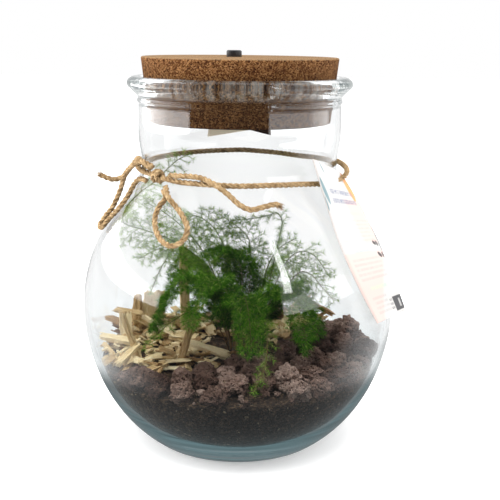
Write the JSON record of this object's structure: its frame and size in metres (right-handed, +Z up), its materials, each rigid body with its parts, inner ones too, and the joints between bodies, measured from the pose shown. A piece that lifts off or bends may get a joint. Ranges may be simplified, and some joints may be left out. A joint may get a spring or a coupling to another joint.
{
  "type": "glass plant terrarium",
  "caption": "Round-bellied glass jar with a cork stopper that holds a push-button lamp, twine and a card tag at its neck, and an asparagus fern in soil, lava stones and wood chips.",
  "frame": {"origin": "centre of the jar's flat foot, on the surface that it stands on", "axes": "+Z up along the jar's axis, +X to the right and +Y away from the viewer in the picture"},
  "size_m": [0.2278, 0.2224, 0.2771],
  "materials": {
    "glass": "clear blown glass, bluish where it is thick, at the lip and the foot",
    "cork": "pressed cork granules, tan with dark specks",
    "button": "black, softly shining",
    "lamp_housing": "dark moulded plastic",
    "cell": "bright steel",
    "board": "green circuit board",
    "lamp_lens": "clear, warm white",
    "patch": "brown paper, pale where its lower side is lit",
    "twine": "laid jute, tan and hairy",
    "card": "white card with pale printed bars and rows",
    "soil": "dark peaty potting soil",
    "lava": "porous, brown to purplish",
    "chips": "pale split wood, ridged along the grain",
    "fern": "fine green needles on dark wiry stems"
  },
  "bodies": {
    "terrarium": {"jar_glass": "glass", "cork_lid": "cork", "switch_body": "lamp_housing", "battery_holder": "lamp_housing", "coin_cell_1": "cell", "coin_cell_2": "cell", "lamp_board": "board", "lamp_led": "lamp_lens", "paper_patch": "patch", "twine_band": "twine", "twine_bow_left": "twine", "twine_bow_front": "twine", "twine_tail_right": "twine", "twine_tail_left": "twine", "paper_tag": "card", "soil": "soil", "lava_stones": "lava", "wood_chips": "chips", "fern_arch_left": "fern", "fern_plume_left_high": "fern", "fern_plume_left_low": "fern", "fern_sprig_left": "fern", "fern_top_left": "fern", "fern_top_mid": "fern", "fern_tall_right": "fern", "fern_right_high": "fern", "fern_right_low": "fern", "fern_front_left": "fern", "fern_front_left_low": "fern", "fern_front_mid_left": "fern", "fern_front_mid": "fern", "fern_front_hanging": "fern", "fern_front_right": "fern", "fern_right_mid": "fern", "fern_back_left": "fern", "fern_back_mid": "fern", "fern_back_right": "fern", "fern_crown_top": "fern", "fern_top_right": "fern"},
    "button": {"switch_button": "button"}
  },
  "joints": [
    {"name": "button_press", "type": "slide", "parent": "terrarium", "child": "button", "axis": [0, 0, -1], "range_m": [0, 0.0015], "stiffness_N_per_m": 800, "springref_m": -0.0005}
  ]
}
